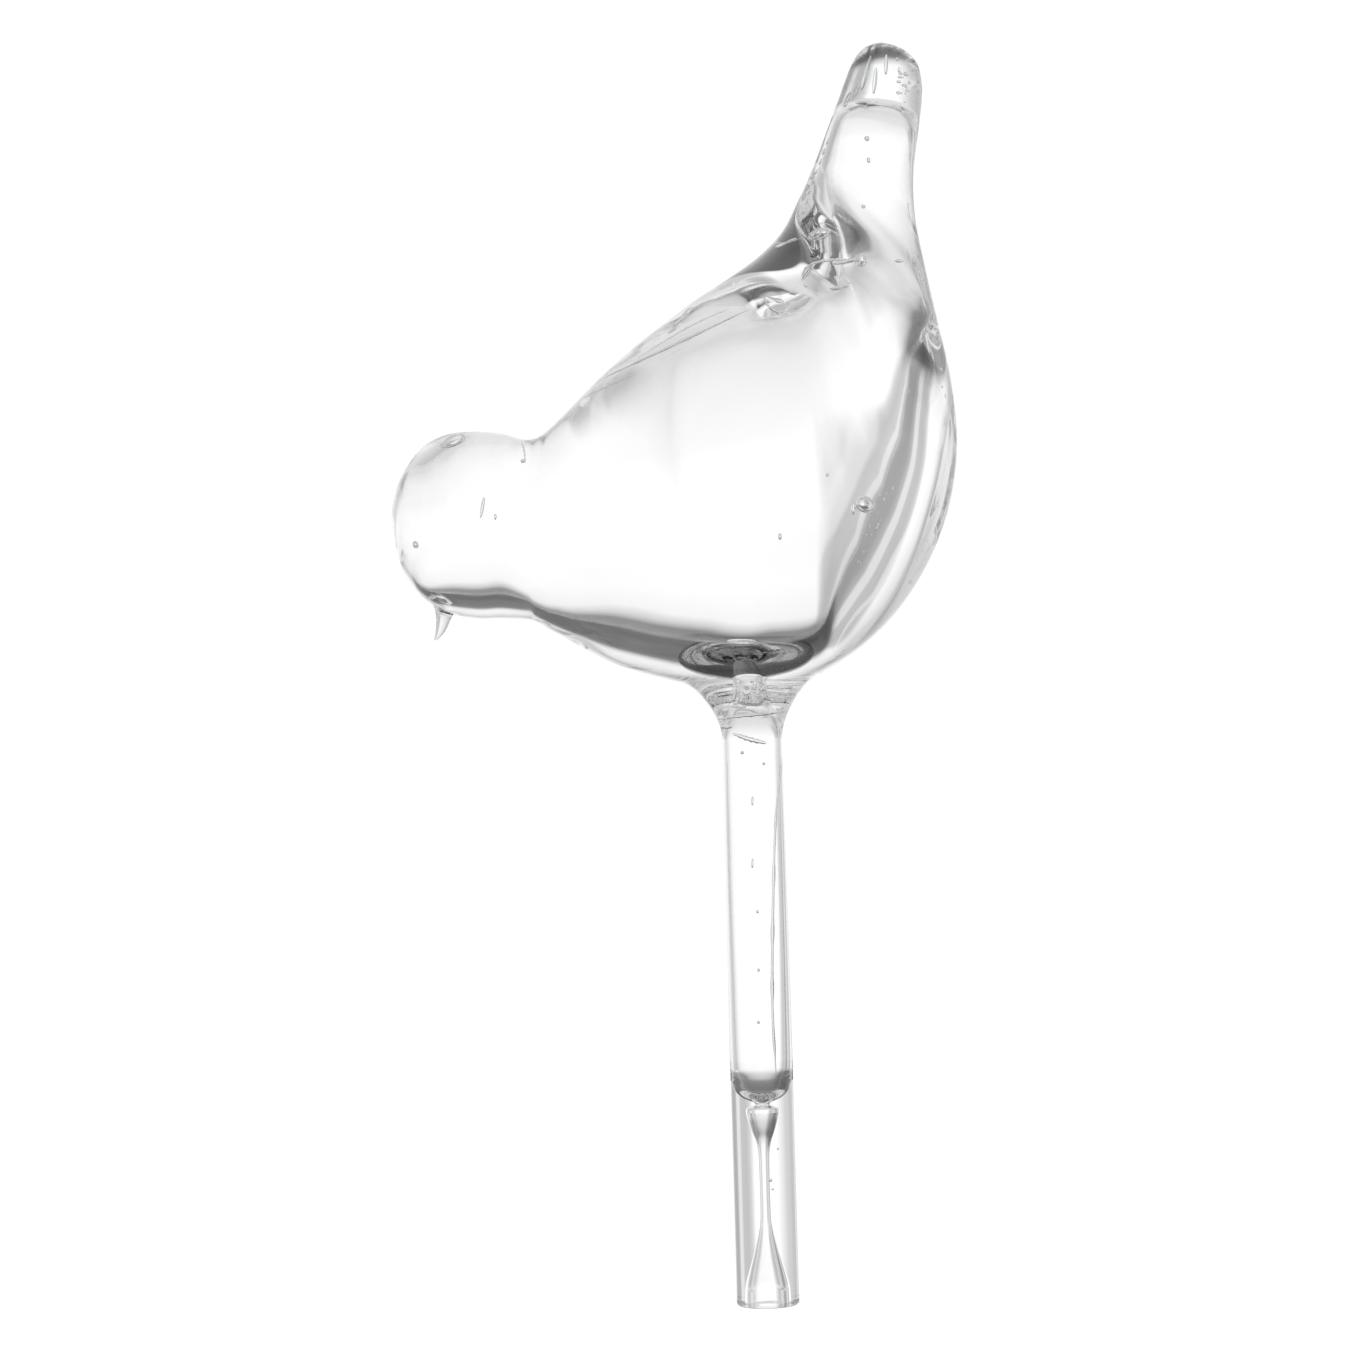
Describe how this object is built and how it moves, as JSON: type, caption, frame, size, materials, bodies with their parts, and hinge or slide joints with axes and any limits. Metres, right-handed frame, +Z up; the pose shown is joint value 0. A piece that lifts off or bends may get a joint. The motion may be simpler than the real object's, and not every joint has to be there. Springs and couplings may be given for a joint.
{
  "type": "watering globe",
  "caption": "Hollow blown-glass bird on a long drip stem that is filled with water, turned over and pushed into potting soil to water a plant slowly.",
  "frame": {"origin": "middle of the stem's tip, where the water leaves", "axes": "+Z up the stem, -X the way the head looks, +Y across the bird's shoulders"},
  "size_m": [0.0947, 0.064, 0.2097],
  "materials": {
    "bird_glass": "blown bulbs, clear and fire polished, with a few bubbles",
    "stem_glass": "clear drawn tube with long streaks",
    "tip_glass": "seedy, slightly milky solid glass",
    "bead_glass": "clear solid bead drawn to a nib"
  },
  "bodies": {
    "root": {"body_bulb": "bird_glass", "head_bulb": "bird_glass", "beak": "bead_glass", "tail_tube": "bird_glass", "tail_tip": "tip_glass", "stem_collar": "bird_glass", "stem_tube": "stem_glass", "drip_throttle": "stem_glass", "drip_stem": "stem_glass"}
  },
  "joints": []
}
